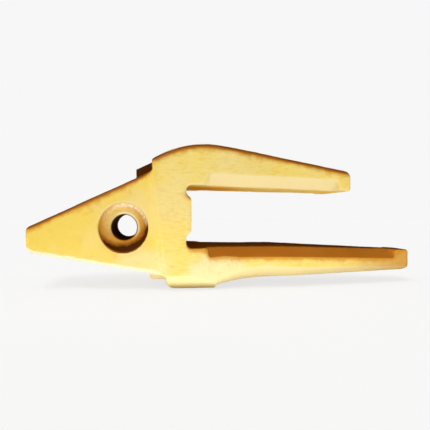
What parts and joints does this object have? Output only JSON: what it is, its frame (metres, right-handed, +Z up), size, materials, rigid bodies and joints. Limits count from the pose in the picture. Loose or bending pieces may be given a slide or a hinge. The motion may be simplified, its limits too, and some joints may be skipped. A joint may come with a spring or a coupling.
{
  "type": "bucket tooth adapter",
  "caption": "Cast steel weld-on bucket tooth adapter with a wedge nose, a cross pin bore with a retainer pocket, and two straps that straddle the bucket lip.",
  "frame": {"origin": "centre of the pin bore, midway across the casting", "axes": "+X from the nose towards the straps, +Y along the pin bore away from the retainer pocket, +Z up with the straps level"},
  "size_m": [0.4327, 0.096, 0.152],
  "materials": {
    "yellow_paint": "semi-gloss golden yellow paint over a sand-cast skin"
  },
  "bodies": {
    "root": {"tooth_adapter": "yellow_paint"}
  },
  "joints": []
}
